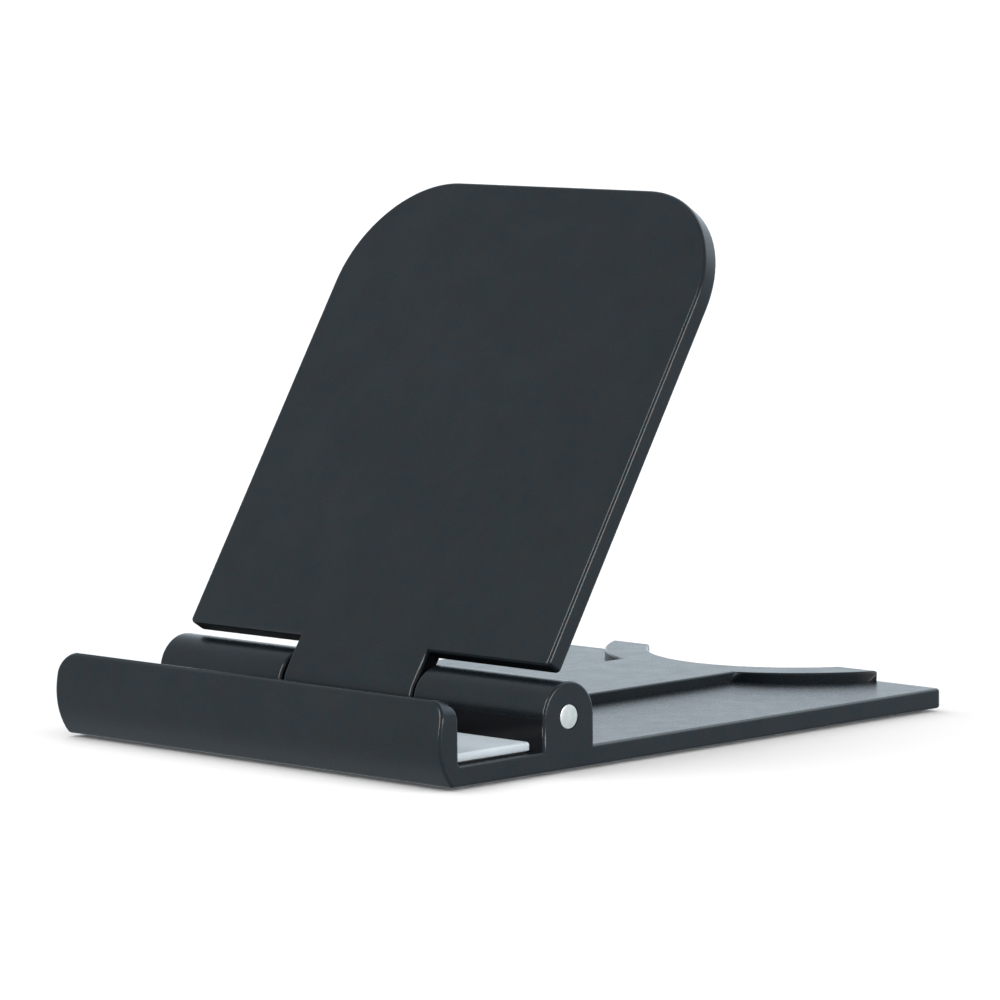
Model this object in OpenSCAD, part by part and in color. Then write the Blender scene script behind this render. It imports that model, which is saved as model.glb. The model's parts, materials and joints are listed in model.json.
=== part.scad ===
// Pocket folding phone stand.
// The base plate carries a phone channel between a front lip and two hinge knuckles.
// The back plate turns on a steel pin that runs through both knuckles and folds flat over the base.
// X runs along the hinge, Y from the lip to the rear edge, Z up. Millimetres.
// The origin is at the middle of the footprint, on the surface that the feet stand on.

/* [Base] */
// Width of the base along the hinge
base_w = 78; // [70:1:90]
// Depth of the base from the lip's front face to the rear edge
base_l = 102.7; // [99:0.1:112]
// Thickness of the base floor
floor_t = 2.9; // [2.4:0.1:3.4]
// Radius of the rear corners in plan
base_corner_r = 0.7; // [0.5:0.1:3]

/* [Front lip] */
// Height of the lip above the underside of the base
lip_h = 11.8; // [9:0.1:14]
// Thickness of the lip's wall
lip_t = 3.6; // [2.8:0.1:4.2]
// Height at which the lip's front face stands furthest forward
lip_full_z = 6.2; // [5.6:0.1:6.6]
// Radius of the front face above that height
lip_upper_r = 12; // [11:0.5:40]
// Radius of the front face below that height, down to the underside
lip_lower_r = 9.5; // [7:0.1:12]
// Radius of the lip's two upper corners
lip_corner_r = 3; // [1:0.1:4.5]

/* [Hinge] */
// Distance of the hinge axis behind the lip's front face
hinge_y = 24.8; // [23.5:0.1:28]
// Height of the hinge axis above the underside of the base
hinge_z = 7.25; // [7.1:0.05:7.6]
// Radius of the two knuckles on the base
knuckle_r = 4.9; // [4.6:0.1:5.1]
// Radius of the hinge pin
pin_r = 1.75; // [1.5:0.05:2]

/* [Back plate] */
// Width of the back plate
plate_w = 72.5; // [64:0.5:76]
// Distance from the hinge axis to the plate's upper edge
plate_top = 78.9; // [70:0.1:80]
// Distance from the hinge axis to the plate's lower edges beside the tongue
plate_bottom = 5.2; // [5.1:0.1:6]
// Thickness of the back plate
plate_t = 2.9; // [2.4:0.1:3.2]
// Angle of the back plate above the base
plate_angle = 58; // [40:1:75]
// Radius of the two upper corners
plate_corner_r = 17.2; // [8:0.1:24]
// Width of the tongue that runs down into the hinge
tongue_w = 26; // [20:0.1:36]

/* [Rear platform and finger notch] */
// Width of the raised strip behind the hinge
strip_w = 22.4; // [20:0.1:25]
// Height of the platform above the base floor
platform_h = 1.45; // [1:0.05:1.8]
// Radius of the finger notch
notch_r = 22.9; // [20:0.1:25]
// Distance of the notch's centre behind the rear edge
notch_offset = 12.4; // [11:0.1:14]
// Outer radius of the rim that embraces the notch
rim_r = 29.8; // [28.5:0.1:31]
// Distance of the rim's centre behind the rear edge
rim_offset = 13; // [12:0.1:14]

/* [Pad and feet] */
// Thickness of the anti-slip pad in the channel
pad_t = 1.2; // [0.8:0.1:1.6]
// Diameter of each rubber foot
foot_d = 8; // [6:0.5:10]
// Height that each foot stands below the underside
foot_proud = 0.5; // [0.4:0.1:1]

/* [Hidden] */
$fn = 96;

// Overlap that joins two solids of one moulding
join = 0.4;
// Length that a cutting tool runs past the solid it cuts
past = 1;

// Base plate
front_y = -base_l / 2;
rear_y = base_l / 2;
axis_y = front_y + hinge_y;
lip_inner_edge_r = 2;
lip_root_r = 0.6;

// Hinge
knuckle_gap = 0.45;
knuckle_inner_x = tongue_w / 2 + knuckle_gap;
barrel_r = knuckle_r - 0.1;
barrel_clearance = 0.4;
pin_end_recess = 0.05;
pin_chamfer = 0.15;
pin_seat_clearance = 0.01;

// Friction bushes, one pressed into each end of the barrel
bush_r = pin_r + 0.95;
bush_l = 7;
bush_running_clearance = 0.05;
bush_seat_clearance = 0.01;
bush_flange_r = pin_r + 1.75;
bush_flange_t = 0.25;
barrel_bore_r = pin_r + 0.35;

// Back plate, in its own axes: X along the hinge, Y up the plate, Z out of the front face
plate_front = barrel_r;
plate_back = plate_front - plate_t;
plate_lower_corner_r = 0.7;

// Rear platform
platform_front_y = axis_y + 6.4;

// Channel pad, on an adhesive film that stops short of the pad's edges
pad_side_inset = 1.3;
pad_front_y = front_y + lip_t + lip_root_r + 0.1;
pad_rear_y = axis_y - knuckle_r - 1.2;
pad_corner_r = 0.7;
film_t = 0.3;
film_inset = 0.5;

// Feet
foot_pocket_depth = 0.8;
foot_pocket_clearance = 0.1;
foot_inset_x = 9;
foot_front_y = front_y + 10;
foot_rear_y = rear_y - 9;

// Places its children on the hinge axis
module at_hinge() {
  translate([0, axis_y, foot_proud + hinge_z]) children();
}

// Turns its children from the back plate's own axes to its leaning position on the hinge
module leaning() {
  at_hinge() rotate([plate_angle, 0, 0]) children();
}

// Cylinder along X, centred on the axis, from x0 to x1
module x_cylinder(r, x0, x1) {
  translate([x0, 0, 0]) rotate([0, 90, 0]) cylinder(r = r, h = x1 - x0);
}

// Extrudes an outline drawn in Y and Z along X, centred
module along_x(length) {
  rotate([90, 0, 90]) linear_extrude(length, center = true) children();
}

// Rectangle from corner to corner with two rounded corners at its far end
module far_rounded_rect(x0, y0, x1, y1, r) {
  translate([x0, y0]) square([x1 - x0, y1 - y0 - r]);
  translate([x0 + r, y0]) square([x1 - x0 - 2 * r, y1 - y0]);
  for (x = [x0 + r, x1 - r]) translate([x, y1 - r]) circle(r);
}

// What is cut away to round a corner: the corner is at the origin, with its sides along -X and -Y
module corner_waste(r) {
  translate([-r, -r]) difference() {
    square(r + past);
    circle(r);
  }
}

// What is cut away in front of a face that curves back from the origin to a height h
module front_waste(r, h) {
  difference() {
    translate([-past, 0]) square([r + past, h]);
    translate([r, 0]) circle(r);
  }
}

// Lip and front of the floor, seen from the end
module lip_outline() {
  difference() {
    union() {
      square([lip_t, lip_h]);
      square([hinge_y, floor_t]);
      translate([lip_t - join, floor_t - join]) square(lip_root_r + join);
    }
    translate([lip_t + lip_root_r, floor_t + lip_root_r]) circle(lip_root_r);
    translate([lip_t, lip_h]) corner_waste(lip_inner_edge_r);
    translate([0, lip_full_z]) front_waste(lip_upper_r, lip_h);
    translate([0, lip_full_z]) mirror([0, 1]) front_waste(lip_lower_r, lip_full_z + past);
  }
}

module lip() {
  intersection() {
    translate([0, front_y, 0]) along_x(base_w) lip_outline();
    translate([0, rear_y, 0]) rotate([90, 0, 0]) linear_extrude(base_l)
      far_rounded_rect(-base_w / 2, 0, base_w / 2, lip_h, lip_corner_r);
  }
}

module floor_plate() {
  linear_extrude(floor_t)
    far_rounded_rect(-base_w / 2, front_y + hinge_y / 2, base_w / 2, rear_y, base_corner_r);
}

// Block under one half-round top, on each side of the tongue
module knuckles() {
  for (side = [-1, 1]) {
    translate([side * (base_w / 2 + knuckle_inner_x) / 2, axis_y, 0])
      along_x(base_w / 2 - knuckle_inner_x) {
        translate([-knuckle_r, floor_t - join]) square([2 * knuckle_r, hinge_z - floor_t + join]);
        translate([0, hinge_z]) circle(knuckle_r);
      }
  }
}

// Rim around the notch, cut off flush with the rear edge
module rim_outline() {
  intersection() {
    translate([0, rear_y + rim_offset]) circle(rim_r, $fn = 180);
    translate([-base_w / 2, 0]) square([base_w, rear_y]);
  }
}

module platform() {
  translate([0, 0, floor_t - join]) linear_extrude(platform_h + join) {
    translate([-strip_w / 2, platform_front_y])
      square([strip_w, rear_y - notch_r + notch_offset - platform_front_y + join]);
    rim_outline();
  }
}

module foot_places() {
  for (x = [-1, 1]) for (y = [foot_front_y, foot_rear_y])
    translate([x * (base_w / 2 - foot_inset_x), y, 0]) children();
}

module base() {
  color([0.19, 0.21, 0.225])
    difference() {
      translate([0, 0, foot_proud]) union() {
        lip();
        floor_plate();
        knuckles();
        platform();
      }
      // Finger notch
      translate([0, rear_y + notch_offset, -past]) cylinder(r = notch_r, h = lip_h, $fn = 180);
      // Trough that the barrel turns in
      at_hinge() x_cylinder(barrel_r + barrel_clearance, -knuckle_inner_x, knuckle_inner_x);
      // Seats of the pin
      at_hinge() x_cylinder(pin_r + pin_seat_clearance, -base_w / 2 - past, base_w / 2 + past);
      // Pockets of the feet
      foot_places()
        translate([0, 0, -past])
          cylinder(d = foot_d + 2 * foot_pocket_clearance, h = foot_proud + foot_pocket_depth + past);
    }
}

// Outline of the plate above the hinge, with large upper corners and small lower ones
module plate_outline() {
  middle = (plate_bottom + plate_top) / 2;
  far_rounded_rect(-plate_w / 2, middle, plate_w / 2, plate_top, plate_corner_r);
  mirror([0, 1]) far_rounded_rect(-plate_w / 2, -middle, plate_w / 2, -plate_bottom, plate_lower_corner_r);
  translate([-tongue_w / 2, 0]) square([tongue_w, middle]);
}

module back_plate() {
  color([0.19, 0.21, 0.225])
    leaning() difference() {
      union() {
        translate([0, 0, plate_back]) linear_extrude(plate_t) plate_outline();
        x_cylinder(barrel_r, -tongue_w / 2, tongue_w / 2);
      }
      x_cylinder(barrel_bore_r, -tongue_w / 2 - past, tongue_w / 2 + past);
      for (side = [0, 1]) mirror([side, 0, 0])
        x_cylinder(bush_r + bush_seat_clearance, tongue_w / 2 - bush_l, tongue_w / 2 + past);
    }
}

module hinge_pin() {
  half = base_w / 2 - pin_end_recess;
  color([0.84, 0.85, 0.85])
    at_hinge() rotate([0, 90, 0]) rotate_extrude()
      polygon([[0, -half], [pin_r - pin_chamfer, -half], [pin_r, -half + pin_chamfer],
               [pin_r, half - pin_chamfer], [pin_r - pin_chamfer, half], [0, half]]);
}

// Flanged sleeve that grips the pin: side is -1 for the left end of the barrel and 1 for the right
module friction_bush(side) {
  start = tongue_w / 2 - bush_l;
  color([0.09, 0.09, 0.1])
    leaning() mirror([side < 0 ? 1 : 0, 0, 0]) difference() {
      union() {
        x_cylinder(bush_r, start, tongue_w / 2 + bush_flange_t);
        x_cylinder(bush_flange_r, tongue_w / 2 + bush_seat_clearance, tongue_w / 2 + bush_flange_t);
      }
      x_cylinder(pin_r + bush_running_clearance, start - past, tongue_w / 2 + past);
    }
}

// Outline of the pad, drawn in by an inset on all sides
module pad_outline(inset) {
  half_w = base_w / 2 - pad_side_inset - inset;
  middle = (pad_front_y + pad_rear_y) / 2;
  far_rounded_rect(-half_w, middle, half_w, pad_rear_y - inset, pad_corner_r - inset);
  mirror([0, 1]) far_rounded_rect(-half_w, -middle, half_w, -pad_front_y - inset, pad_corner_r - inset);
}

module channel_pad() {
  color([0.8, 0.82, 0.84])
    translate([0, 0, foot_proud + floor_t + film_t]) linear_extrude(pad_t) pad_outline(0);
}

module pad_film() {
  color([0.1, 0.1, 0.1])
    translate([0, 0, foot_proud + floor_t]) linear_extrude(film_t) pad_outline(film_inset);
}

// Rubber disc in its pocket: side is -1 for left and 1 for right
module foot(side, y) {
  color([0.06, 0.06, 0.06])
    translate([side * (base_w / 2 - foot_inset_x), y, 0])
      cylinder(d = foot_d, h = foot_proud + foot_pocket_depth);
}

base();
back_plate();
hinge_pin();
friction_bush(-1);  // friction_bush_left
friction_bush(1);  // friction_bush_right
channel_pad();
pad_film();
foot(-1, foot_front_y);  // foot_front_left
foot(1, foot_front_y);  // foot_front_right
foot(-1, foot_rear_y);  // foot_rear_left
foot(1, foot_rear_y);  // foot_rear_right
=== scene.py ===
import json
import math

import bmesh
import bpy
from mathutils import Matrix, Vector


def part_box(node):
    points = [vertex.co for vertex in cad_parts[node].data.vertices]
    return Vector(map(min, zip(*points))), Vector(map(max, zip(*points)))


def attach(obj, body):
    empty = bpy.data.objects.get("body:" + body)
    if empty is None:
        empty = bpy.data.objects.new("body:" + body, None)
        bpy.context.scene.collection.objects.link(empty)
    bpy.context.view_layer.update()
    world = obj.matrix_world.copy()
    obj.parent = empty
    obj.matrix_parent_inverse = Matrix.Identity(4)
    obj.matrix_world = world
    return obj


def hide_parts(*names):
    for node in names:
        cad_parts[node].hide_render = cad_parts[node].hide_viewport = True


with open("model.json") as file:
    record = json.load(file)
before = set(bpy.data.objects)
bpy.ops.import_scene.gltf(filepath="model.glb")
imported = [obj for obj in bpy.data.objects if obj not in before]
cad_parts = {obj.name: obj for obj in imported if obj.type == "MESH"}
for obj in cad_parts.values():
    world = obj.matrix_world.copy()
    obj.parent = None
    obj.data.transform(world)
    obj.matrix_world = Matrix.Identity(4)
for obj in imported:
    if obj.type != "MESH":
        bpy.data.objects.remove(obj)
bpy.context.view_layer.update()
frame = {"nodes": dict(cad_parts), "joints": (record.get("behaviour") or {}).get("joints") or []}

# A folding phone stand. Lengths are in metres, and MM turns millimetres into them.
MM = 0.001
HINGE = frame["joints"][0]
AXIS = Vector(HINGE["pos_m"])
LEAN = math.radians(-HINGE["range_deg"][0])
PLATE_UP = Vector((0, math.cos(LEAN), math.sin(LEAN)))
BASE_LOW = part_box("base")[0]
PIN_LOW, PIN_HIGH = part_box("hinge_pin")
BUSH_LOW, BUSH_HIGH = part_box("friction_bush_right")
PAD_LOW, PAD_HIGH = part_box("channel_pad")
FILM_LOW, FILM_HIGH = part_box("pad_film")
FEET = [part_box(f"foot_{end}_{side}") for end in ("front", "rear") for side in ("left", "right")]
FLOOR_TOP = FILM_LOW.z


# ---------------------------------------------------------------- mesh helpers

def new_piece(name, bm, materials, body, slot, *nodes):
    """Turns a bmesh into a smooth-shaded piece that stands for CAD nodes and moves with a body."""
    mesh = bpy.data.meshes.new(name)
    bm.normal_update()
    bm.to_mesh(mesh)
    bm.free()
    mesh.shade_smooth()
    for material in materials:
        mesh.materials.append(material)
    piece = bpy.data.objects.new(name, mesh)
    bpy.context.scene.collection.objects.link(piece)
    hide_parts(*nodes)
    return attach(piece, body)


def mark_sharp(bm, angle):
    """Marks the edges that turn by more than an angle as sharp."""
    for edge in bm.edges:
        edge.smooth = len(edge.link_faces) == 2 and edge.calc_face_angle(0) < angle


def arc(centre, radius, start, end, steps):
    """Points (across, along) on an arc, whose angles are in degrees."""
    points = []
    for i in range(steps + 1):
        turn = math.radians(start + (end - start) * i / steps)
        points.append((centre[0] + radius * math.cos(turn), centre[1] + radius * math.sin(turn)))
    return points


def turned(profile, origin, axis, segments=96):
    """A closed bmesh turned round an axis. The profile's points are (radius, distance along the axis)."""
    along = Vector(axis).normalized()
    across = along.orthogonal().normalized()
    third = along.cross(across)
    bm = bmesh.new()
    rings = []
    for radius, distance in profile:
        middle = Vector(origin) + along * distance
        if radius < 1e-9:
            rings.append([bm.verts.new(middle)])
            continue
        ring = []
        for i in range(segments):
            turn = 2 * math.pi * i / segments
            ring.append(bm.verts.new(middle + radius * (across * math.cos(turn) + third * math.sin(turn))))
        rings.append(ring)
    closed = len(rings[0]) > 1
    pairs = list(zip(rings, rings[1:] + rings[:1])) if closed else list(zip(rings, rings[1:]))
    for low, high in pairs:
        for i in range(segments):
            j = (i + 1) % segments
            corners = [low[i % len(low)], low[j % len(low)], high[j % len(high)], high[i % len(high)]]
            bm.faces.new(list(dict.fromkeys(corners)))
    bmesh.ops.recalc_face_normals(bm, faces=bm.faces)
    return bm


# ---------------------------------------------------------------- materials

def material_with(name):
    """A new material, its node tree and its Principled shader."""
    material = bpy.data.materials.new(name)
    material.use_nodes = True
    tree = material.node_tree
    return material, tree, tree.nodes["Principled BSDF"]


def noise(tree, scale, detail=2.0, roughness=0.5, stretch=(1, 1, 1)):
    """The value of a noise that moves with the piece, with about scale features to the metre."""
    place = tree.nodes.new("ShaderNodeTexCoord")
    mapping = tree.nodes.new("ShaderNodeMapping")
    mapping.inputs["Scale"].default_value = stretch
    texture = tree.nodes.new("ShaderNodeTexNoise")
    texture.inputs["Scale"].default_value = scale
    texture.inputs["Detail"].default_value = detail
    texture.inputs["Roughness"].default_value = roughness
    tree.links.new(place.outputs["Object"], mapping.inputs["Vector"])
    tree.links.new(mapping.outputs["Vector"], texture.inputs["Vector"])
    return texture.outputs["Fac"]


def spread(tree, value, low, high, start=0.3, end=0.7):
    """Maps a value that runs from start to end, a noise's usual range, to low and high."""
    node = tree.nodes.new("ShaderNodeMapRange")
    node.inputs["From Min"].default_value = start
    node.inputs["From Max"].default_value = end
    node.inputs["To Min"].default_value = low
    node.inputs["To Max"].default_value = high
    tree.links.new(value, node.inputs["Value"])
    return node.outputs["Result"]


def mix_colours(tree, factor, first, second):
    """A colour between two others. Each of them is a tuple or another node's output."""
    node = tree.nodes.new("ShaderNodeMix")
    node.data_type = "RGBA"
    tree.links.new(factor, node.inputs["Factor"])
    for name, colour in (("A", first), ("B", second)):
        socket = [s for s in node.inputs if s.name == name and s.type == "RGBA"][0]
        if isinstance(colour, tuple):
            socket.default_value = (*colour, 1)
        else:
            tree.links.new(colour, socket)
    return [s for s in node.outputs if s.type == "RGBA"][0]


def bump(tree, height, strength, distance, under=None):
    """A bump from a height, on top of another bump."""
    node = tree.nodes.new("ShaderNodeBump")
    node.inputs["Strength"].default_value = strength
    node.inputs["Distance"].default_value = distance
    tree.links.new(height, node.inputs["Height"])
    if under is not None:
        tree.links.new(under, node.inputs["Normal"])
    return node.outputs["Normal"]


def skin(tree, shader, colour, roughness, normal):
    """Plugs a colour, a roughness and a bump into a shader."""
    tree.links.new(colour, shader.inputs["Base Color"])
    tree.links.new(roughness, shader.inputs["Roughness"])
    tree.links.new(normal, shader.inputs["Normal"])


def moulded_plastic(name, dark, light, rough_low, rough_high, gloss=0.17):
    """Matt charcoal plastic with a fine moulded grain, faint mottling and slightly uneven gloss."""
    material, tree, shader = material_with(name)
    mottle = spread(tree, noise(tree, 110, 5, 0.6), 0, 1)
    speck = spread(tree, noise(tree, 1900, 3, 0.6), 0, 0.5, 0.6, 0.8)
    pale = tuple(c * 1.5 for c in light)
    colour = mix_colours(tree, speck, mix_colours(tree, mottle, dark, light), pale)
    roughness = spread(tree, noise(tree, 260, 4, 0.6), rough_low, rough_high)
    patches = spread(tree, noise(tree, 640, 4, 0.7), 0, 1, 0.42, 0.58)
    tint = mix_colours(tree, patches, (1, 0.88, 0.82), (0.76, 0.93, 0.98))
    tree.links.new(tint, shader.inputs["Specular Tint"])
    shader.inputs["Specular IOR Level"].default_value = gloss
    shader.inputs["IOR"].default_value = 1.5
    grain = bump(tree, noise(tree, 3400, 2, 0.5), 0.3, 0.03 * MM)
    skin(tree, shader, colour, roughness, bump(tree, noise(tree, 420, 2, 0.5), 0.05, 0.05 * MM, grain))
    return material


def pin_steel():
    """Lightly polished steel with turning marks."""
    material, tree, shader = material_with("pin_steel")
    shader.inputs["Metallic"].default_value = 1
    tone = spread(tree, noise(tree, 900, 4, 0.6), 0, 1)
    colour = mix_colours(tree, tone, (0.335, 0.34, 0.325), (0.415, 0.42, 0.4))
    roughness = spread(tree, noise(tree, 2600, 3, 0.6), 0.28, 0.42)
    marks = bump(tree, noise(tree, 5200, 2, 0.5, (0.05, 1, 1)), 0.2, 0.01 * MM)
    skin(tree, shader, colour, roughness, marks)
    return material


def bush_acetal():
    """Black acetal, slightly waxy."""
    material, tree, shader = material_with("bush_acetal")
    tone = spread(tree, noise(tree, 700, 3, 0.5), 0, 1)
    colour = mix_colours(tree, tone, (0.004, 0.004, 0.005), (0.01, 0.01, 0.011))
    roughness = spread(tree, noise(tree, 1500, 2, 0.5), 0.35, 0.5)
    skin(tree, shader, colour, roughness, bump(tree, noise(tree, 3000, 2, 0.5), 0.15, 0.02 * MM))
    return material


def pad_silicone():
    """Soft pale grey silicone with a dusty, slightly uneven skin."""
    material, tree, shader = material_with("pad_silicone")
    tone = spread(tree, noise(tree, 240, 4, 0.6), 0, 1)
    colour = mix_colours(tree, tone, (0.265, 0.3, 0.324), (0.3, 0.334, 0.358))
    roughness = spread(tree, noise(tree, 900, 3, 0.6), 0.5, 0.65)
    shader.inputs["Subsurface Weight"].default_value = 0.25
    shader.inputs["Subsurface Radius"].default_value = (0.6 * MM, 0.6 * MM, 0.6 * MM)
    shader.inputs["Subsurface Scale"].default_value = 1
    fine = bump(tree, noise(tree, 2600, 2, 0.5), 0.3, 0.03 * MM)
    skin(tree, shader, colour, roughness, bump(tree, noise(tree, 330, 2, 0.5), 0.3, 0.08 * MM, fine))
    return material


def adhesive_film():
    """Dark double-sided tape."""
    material, tree, shader = material_with("adhesive_film")
    tone = spread(tree, noise(tree, 500, 3, 0.5), 0, 1)
    colour = mix_colours(tree, tone, (0.008, 0.008, 0.009), (0.02, 0.02, 0.021))
    roughness = spread(tree, noise(tree, 1200, 2, 0.5), 0.35, 0.6)
    skin(tree, shader, colour, roughness, bump(tree, noise(tree, 1800, 2, 0.5), 0.3, 0.03 * MM))
    return material


def foot_rubber():
    """Matt black rubber with a faint bloom."""
    material, tree, shader = material_with("foot_rubber")
    bloom = spread(tree, noise(tree, 420, 5, 0.65), 0, 1)
    colour = mix_colours(tree, bloom, (0.012, 0.012, 0.013), (0.03, 0.03, 0.03))
    roughness = spread(tree, noise(tree, 800, 3, 0.5), 0.65, 0.85)
    skin(tree, shader, colour, roughness, bump(tree, noise(tree, 2800, 3, 0.6), 0.4, 0.04 * MM))
    return material


# ---------------------------------------------------------------- mouldings

# Radii of the rounded edges
FILLET = 0.5 * MM
BASE_FILLET = 0.45 * MM
PLATFORM_FILLET = 0.3 * MM

# Edges that turn by less than this belong to a curved face
SHARP = math.radians(28)

# Distances from the hinge axis that reach past the pin's seats, the barrel, the trough and the knuckles
SEAT_REACH = 2.5 * MM
BARREL_REACH = 4 * MM
TROUGH_REACH = 6 * MM
KNUCKLE_REACH = 6.5 * MM
KNUCKLE_BACK = AXIS.y + 5 * MM

# Half the width of the hollow between the knuckles
HOLLOW = BUSH_HIGH.x + 0.3 * MM

# How far above the floor a point still counts as on it
NEAR = 0.1 * MM

# How far from a foot, and how far above the underside, an edge still belongs to the foot's pocket
FOOT_MARGIN = 0.5 * MM
UNDERSIDE_REACH = 1 * MM

# How closely a normal follows a direction when its face looks that way
ALONG = 0.9


def flat_faced(node):
    """A bmesh with a CAD node's shape, its triangles joined into flat faces."""
    bm = bmesh.new()
    bm.from_mesh(frame["nodes"][node].data)
    same_place = 0.002 * MM
    same_plane = math.radians(0.4)
    bmesh.ops.remove_doubles(bm, verts=bm.verts, dist=same_place)
    bmesh.ops.dissolve_limit(bm, angle_limit=same_plane, verts=bm.verts, edges=bm.edges)
    return bm


def moulding(name, node, radius_of, is_painted_shade, body):
    """A CAD node's shape with its outer edges rounded by radius_of(point), and painted shade, a darker and
    less glossy material, on its shaded recesses.
    """
    bm = flat_faced(node)
    bm.normal_update()
    # Painted shade: faces in the shaded hollows get the third material, darker and less glossy than the
    # rest.
    for face in bm.faces:
        if is_painted_shade(face.calc_center_median(), face.normal):
            face.material_index = 2
    weight = bm.edges.layers.float.new("bevel_weight_edge")
    for edge in bm.edges:
        angle = edge.calc_face_angle(0)
        if angle < SHARP:
            continue
        if not edge.is_convex:
            edge.smooth = False
            continue
        middle = (edge.verts[0].co + edge.verts[1].co) / 2
        radius = radius_of(middle)
        edge[weight] = radius / FILLET
        edge.smooth = radius > 0
    piece = new_piece(name, bm, MOULDED, body, "moulded_plastic", node)
    rounding = piece.modifiers.new("rounded_edges", "BEVEL")
    rounding.limit_method = "WEIGHT"
    rounding.width = FILLET
    rounding.segments = 5
    rounding.use_clamp_overlap = False
    rounding.loop_slide = False
    rounding.miter_outer = "MITER_ARC"
    rounding.material = 1
    shading = piece.modifiers.new("flat_faces", "WEIGHTED_NORMAL")
    shading.keep_sharp = True
    return piece


def off_axis(p):
    """How far a point is from the hinge axis."""
    return math.hypot(p.y - AXIS.y, p.z - AXIS.z)


def by_a_foot(p):
    """Whether a point of the underside is on the rim of a foot's pocket."""
    if p.z > BASE_LOW.z + UNDERSIDE_REACH:
        return False
    for low, high in FEET:
        middle = (low + high) / 2
        radius = (high.x - low.x) / 2
        if math.hypot(p.x - middle.x, p.y - middle.y) < radius + FOOT_MARGIN:
            return True
    return False


def base_radius(p):
    """How round the base's edges are at a point."""
    if off_axis(p) < SEAT_REACH or by_a_foot(p):
        return 0
    if abs(p.x) < HOLLOW and off_axis(p) < TROUGH_REACH and p.z < FLOOR_TOP + NEAR:
        return 0
    if p.z > FLOOR_TOP + NEAR and p.y > KNUCKLE_BACK:
        return PLATFORM_FILLET
    return BASE_FILLET


def base_painted_shade(p, normal):
    """Where shade is painted on the base: the hollow that the barrel turns in, and the knuckles' faces over
    the channel.
    """
    if off_axis(p) > KNUCKLE_REACH:
        return False
    return abs(p.x) < HOLLOW or (normal.y < -ALONG and p.z < AXIS.z)


def plate_painted_shade(p, normal):
    """Where shade is painted on the plate: its lower ends and the sides of its tongue."""
    return normal.dot(PLATE_UP) < -ALONG or (abs(normal.x) > ALONG and abs(p.x) < BUSH_HIGH.x)


def plate_radius(p):
    """How round the back plate's edges are at a point."""
    if off_axis(p) < BARREL_REACH:
        return 0
    return FILLET


MOULDED = (
    moulded_plastic("moulded_plastic", (0.003, 0.0048, 0.0065), (0.005, 0.007, 0.009), 0.25, 0.29),
    moulded_plastic("moulded_edge", (0.005, 0.007, 0.009), (0.008, 0.01, 0.012), 0.18, 0.24),
    # Painted shade: darker and less glossy, put on recesses that lie in shade.
    moulded_plastic("moulded_painted_shade", (0.002, 0.002, 0.0025), (0.004, 0.004, 0.005), 0.5, 0.6, 0.05),
)
moulding("base_moulding", "base", base_radius, base_painted_shade, "base")
moulding("back_plate_moulding", "back_plate", plate_radius, plate_painted_shade, "plate")

# ---------------------------------------------------------------- small parts


SMALLEST_CORNER = 0.2 * MM


def outline(low, high, inset, corner):
    """Points of a rectangle with round corners, drawn in by an inset on all sides."""
    radius = max(corner - inset, SMALLEST_CORNER)
    right = high.x - inset - radius
    far = high.y - inset - radius
    left = low.x + inset + radius
    near = low.y + inset + radius
    points = []
    for centre, start in (((right, far), 0), ((left, far), 90), ((left, near), 180), ((right, near), 270)):
        points += arc(centre, radius, start, start + 90, 12)
    return points


def sheet(low, high, corner, rings):
    """A closed bmesh of a flat sheet. Each ring is an (inset, height), from the underside to the top."""
    bm = bmesh.new()
    loops = []
    for inset, height in rings:
        loops.append([bm.verts.new((x, y, height)) for x, y in outline(low, high, inset, corner)])
    for lower, upper in zip(loops, loops[1:]):
        for i in range(len(lower)):
            j = (i + 1) % len(lower)
            bm.faces.new((lower[i], lower[j], upper[j], upper[i]))
    bm.faces.new(loops[0][::-1])
    bm.faces.new(loops[-1])
    bmesh.ops.recalc_face_normals(bm, faces=bm.faces)
    return bm


def anti_slip_pad():
    """Moulded pad with a soft rolled rim and a faintly crowned top."""
    corner = 0.7 * MM
    ease = 0.1 * MM
    roll = 0.35 * MM
    crown = 0.05 * MM
    rim = PAD_HIGH.z - crown
    rings = [(ease, PAD_LOW.z), (0, PAD_LOW.z + ease)]
    rings += [(-across, up) for across, up in arc((-roll, rim - roll), roll, 0, 90, 8)]
    rings += [(inset * MM, rim + share * crown) for inset, share in ((1.4, 0.5), (3, 0.85), (6, 1))]
    pad = new_piece("anti_slip_pad", sheet(PAD_LOW, PAD_HIGH, corner, rings), [pad_silicone()],
                    "base", "pad_silicone", "channel_pad")


def film_under_pad():
    """Die-cut film with a slightly rounded edge."""
    corner = 0.3 * MM
    ease = 0.04 * MM
    middle = (FILM_LOW.z + FILM_HIGH.z) / 2
    rings = [(ease, FILM_LOW.z), (0, middle), (ease, FILM_HIGH.z)]
    new_piece("film_under_pad", sheet(FILM_LOW, FILM_HIGH, corner, rings), [adhesive_film()],
              "base", "adhesive_film", "pad_film")


def pin():
    """Hinge pin with rounded ends."""
    radius = (PIN_HIGH.z - PIN_LOW.z) / 2
    half = PIN_HIGH.x
    soft = 0.18 * MM
    profile = [(0, -half)]
    profile += arc((radius - soft, soft - half), soft, -90, 0, 6)
    profile += arc((radius - soft, half - soft), soft, 0, 90, 6)
    profile.append((0, half))
    bm = turned(profile, AXIS, (1, 0, 0))
    mark_sharp(bm, math.radians(35))
    new_piece("pin_turned", bm, [pin_steel()], "base", "pin_steel", "hinge_pin")


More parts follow.
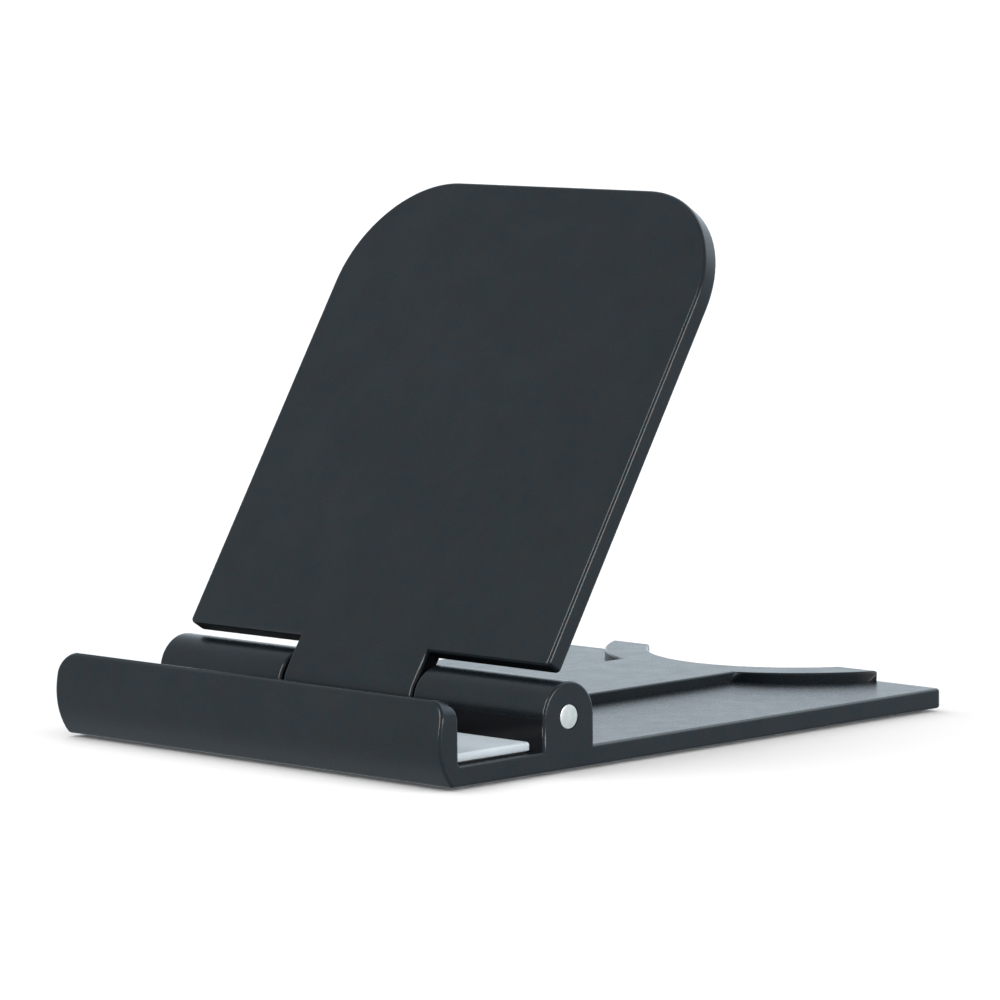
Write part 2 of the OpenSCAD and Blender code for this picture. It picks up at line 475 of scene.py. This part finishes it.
def bush(side, name, material):
    """Flanged friction bush with eased edges and two grip grooves round its sleeve."""
    start, end = BUSH_LOW.x, BUSH_HIGH.x
    flange = (BUSH_HIGH.z - BUSH_LOW.z) / 2
    under = end - 0.24 * MM
    sleeve = 2.7 * MM
    bore = 1.8 * MM
    ease = 0.12 * MM
    nick = 0.05 * MM
    groove_pitch = 2.2 * MM
    groove_width = 0.25 * MM
    profile = [(bore, start + ease), (bore + ease, start), (sleeve - ease, start), (sleeve, start + ease)]
    for near in (start + groove_pitch, start + 2 * groove_pitch):
        far = near + groove_width
        profile += [(sleeve, near), (sleeve - nick, near + nick), (sleeve - nick, far - nick), (sleeve, far)]
    profile += [(sleeve, under), (flange - nick, under), (flange, under + nick), (flange, end - nick),
                (flange - nick, end), (bore + ease, end), (bore, end - ease)]
    bm = turned(profile, AXIS, (side, 0, 0))
    mark_sharp(bm, math.radians(35))
    new_piece(name, bm, [material], "plate", "bush_plastic", name.replace("_turned", ""))


def foot(node, material):
    """Rubber foot with a rounded edge, and a dimple and a ring groove in its sole."""
    low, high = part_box(node)
    centre = ((low.x + high.x) / 2, (low.y + high.y) / 2, low.z)
    radius = (high.x - low.x) / 2
    tall = high.z - low.z
    soft = 0.3 * MM
    ease = 0.1 * MM
    dimple, dimple_lip, dimple_edge = 0.06 * MM, 1.7 * MM, 1.9 * MM
    groove, inner, outer, slope = 0.12 * MM, 2.3 * MM, 2.9 * MM, 0.15 * MM
    profile = [(0, dimple), (dimple_lip, dimple / 2), (dimple_edge, 0)]
    profile += [(inner, 0), (inner + slope, groove), (outer - slope, groove), (outer, 0)]
    profile += arc((radius - soft, soft), soft, -90, 0, 6)
    profile += arc((radius - ease, tall - ease), ease, 0, 90, 4)
    profile.append((0, tall))
    bm = turned(profile, centre, (0, 0, 1))
    mark_sharp(bm, math.radians(50))
    new_piece(node + "_moulded", bm, [material], "base", "foot_rubber", node)


anti_slip_pad()
film_under_pad()
pin()
acetal = bush_acetal()
rubber = foot_rubber()
for side, name in ((-1, "left"), (1, "right")):
    bush(side, f"friction_bush_{name}_turned", acetal)
    for end in ("front", "rear"):
        foot(f"foot_{end}_{name}", rubber)

# ---------------------------------------------------------------- stage, light, camera

# Soft panels seen in glossy surfaces: each one's direction, the angles in degrees at which it is full and
# gone, and its brightness
PANELS = (
    ((-0.7, -0.45, 0.55), 8, 30, 0.1),
    ((-0.7, 0.7, 0.11), 15, 45, 0.1),
    ((0.15, 0.7, 0.7), 12, 35, 2.1),
)
# The cool light that glossy surfaces see, and the even light and the brighter right that matt ones see
GLOSSY_LIGHT = (1.25, 1.42, 1.55)
EVEN_LIGHT = (0.8, 0.8, 0.8)
RIGHT_LIGHT = (5.6, 5.6, 5.6)


def pale_floor():
    """A large matt floor that glows faintly and is not seen in glossy surfaces."""
    bm = bmesh.new()
    bmesh.ops.create_circle(bm, cap_ends=True, segments=128, radius=12)
    mesh = bpy.data.meshes.new("floor")
    bm.to_mesh(mesh)
    bm.free()
    material, tree, shader = material_with("floor")
    shader.inputs["Base Color"].default_value = (0.6, 0.6, 0.6, 1)
    shader.inputs["Emission Color"].default_value = (1, 0.99, 0.99, 1)
    shader.inputs["Emission Strength"].default_value = 0.05
    shader.inputs["Roughness"].default_value = 0.9
    shader.inputs["Specular IOR Level"].default_value = 0
    mesh.materials.append(material)
    floor = bpy.data.objects.new("floor", mesh)
    bpy.context.scene.collection.objects.link(floor)
    floor.visible_glossy = False
    floor.visible_shadow = False


def maths(tree, operation, first, second):
    """A sum, product or similar of two values. Each is a number or another node's output."""
    node = tree.nodes.new("ShaderNodeMath")
    node.operation = operation
    for socket, value in zip(node.inputs, (first, second)):
        if isinstance(value, (int, float)):
            socket.default_value = value
        else:
            tree.links.new(value, socket)
    return node.outputs["Value"]


def panel(tree, ray, direction, full, gone):
    """1 within an angle of full degrees of a direction, falling softly to 0 at gone degrees."""
    node = tree.nodes.new("ShaderNodeVectorMath")
    node.operation = "DOT_PRODUCT"
    node.inputs[1].default_value = Vector(direction).normalized()
    tree.links.new(ray, node.inputs[0])
    closeness = maths(tree, "ARCCOSINE", node.outputs["Value"], 0)
    return spread(tree, closeness, 1, 0, math.radians(full), math.radians(gone))


def studio_world():
    """Plain white to the camera, even light on the floor, and soft panels to be seen in glossy surfaces."""
    world = bpy.data.worlds.new("studio")
    world.use_nodes = True
    tree = world.node_tree
    ray = tree.nodes.new("ShaderNodeTexCoord").outputs["Generated"]
    split = tree.nodes.new("ShaderNodeSeparateXYZ")
    tree.links.new(ray, split.inputs["Vector"])
    height = split.outputs["Z"]
    above = spread(tree, height, 1, 0.66, 0, 0.6)
    for direction, full, gone, strength in PANELS:
        bright = maths(tree, "MULTIPLY", panel(tree, ray, direction, full, gone), strength)
        above = maths(tree, "ADD", above, bright)
    below = spread(tree, split.outputs["Y"], 0.87, 0.25, -0.3, 0.3)
    lower = spread(tree, height, 0, 1, -0.12, -0.5)
    seen = tree.nodes.new("ShaderNodeMix")
    seen.data_type = "FLOAT"
    tree.links.new(lower, seen.inputs["Factor"])
    tree.links.new(above, seen.inputs["A"])
    tree.links.new(below, seen.inputs["B"])
    glossy = tree.nodes.new("ShaderNodeVectorMath")
    glossy.operation = "SCALE"
    glossy.inputs["Vector"].default_value = GLOSSY_LIGHT
    tree.links.new(seen.outputs["Result"], glossy.inputs["Scale"])
    path = tree.nodes.new("ShaderNodeLightPath")
    diffuse = mix_colours(tree, panel(tree, ray, (1, 0, 0.2), 20, 50), EVEN_LIGHT, RIGHT_LIGHT)
    lit = mix_colours(tree, path.outputs["Is Glossy Ray"], diffuse, glossy.outputs["Vector"])
    colour = mix_colours(tree, path.outputs["Is Camera Ray"], lit, (1, 1, 1))
    tree.links.new(colour, tree.nodes["Background"].inputs["Color"])
    bpy.context.scene.world = world


def overhead_light():
    """Very soft light from above and the left that whitens the floor and leaves no highlight."""
    light = bpy.data.lights.new("overhead", "SUN")
    light.energy = 3
    light.angle = math.radians(80)
    lamp = bpy.data.objects.new("overhead", light)
    lamp.rotation_euler = Vector((-0.7, -0.4, 0.75)).to_track_quat("Z", "Y").to_euler()
    lamp.visible_glossy = False
    bpy.context.scene.collection.objects.link(lamp)


def softbox(name, direction, width, height, power):
    """A soft light, 1 m away, that shows only as a highlight on edges and on the pin."""
    light = bpy.data.lights.new(name, "AREA")
    light.shape = "RECTANGLE"
    light.size = width
    light.size_y = height
    light.energy = power
    lamp = bpy.data.objects.new(name, light)
    lamp.location = Vector(direction).normalized()
    lamp.rotation_euler = (-lamp.location).to_track_quat("-Z", "Y").to_euler()
    lamp.visible_camera = False
    lamp.visible_diffuse = False
    bpy.context.scene.collection.objects.link(lamp)


def camera_at(target, distance, azimuth, elevation, roll, lens):
    """A camera that looks at a point. Angles are in degrees, and azimuth 0 looks along +Y."""
    turn, rise, tilt = (math.radians(a) for a in (azimuth, elevation, roll))
    back = Vector((math.sin(turn) * math.cos(rise), -math.cos(turn) * math.cos(rise), math.sin(rise)))
    right = Vector((math.cos(turn), math.sin(turn), 0))
    up = back.cross(right)
    rolled_right = right * math.cos(tilt) + up * math.sin(tilt)
    rolled_up = up * math.cos(tilt) - right * math.sin(tilt)
    camera = bpy.data.objects.new("camera", bpy.data.cameras.new("camera"))
    camera.data.lens = lens
    camera.data.sensor_width = 36
    camera.data.clip_start = 0.01
    turned_to = Matrix((rolled_right, rolled_up, back)).transposed().to_4x4()
    camera.matrix_world = Matrix.Translation(Vector(target) + back * distance) @ turned_to
    bpy.context.scene.collection.objects.link(camera)
    bpy.context.scene.camera = camera


pale_floor()
studio_world()
overhead_light()
softbox("softbox_right", (0.96, 0.16, 0.24), width=0.4, height=0.5, power=11)
softbox("softbox_front", (-0.12, -0.87, 0.48), width=0.4, height=0.95, power=22)
camera_at(
    target=(-0.012 * MM, -0.238 * MM, 32.573 * MM), distance=815.74 * MM,
    azimuth=44.8, elevation=6.077, roll=-0.546, lens=204.5,
)
bpy.context.scene.view_settings.view_transform = "Standard"
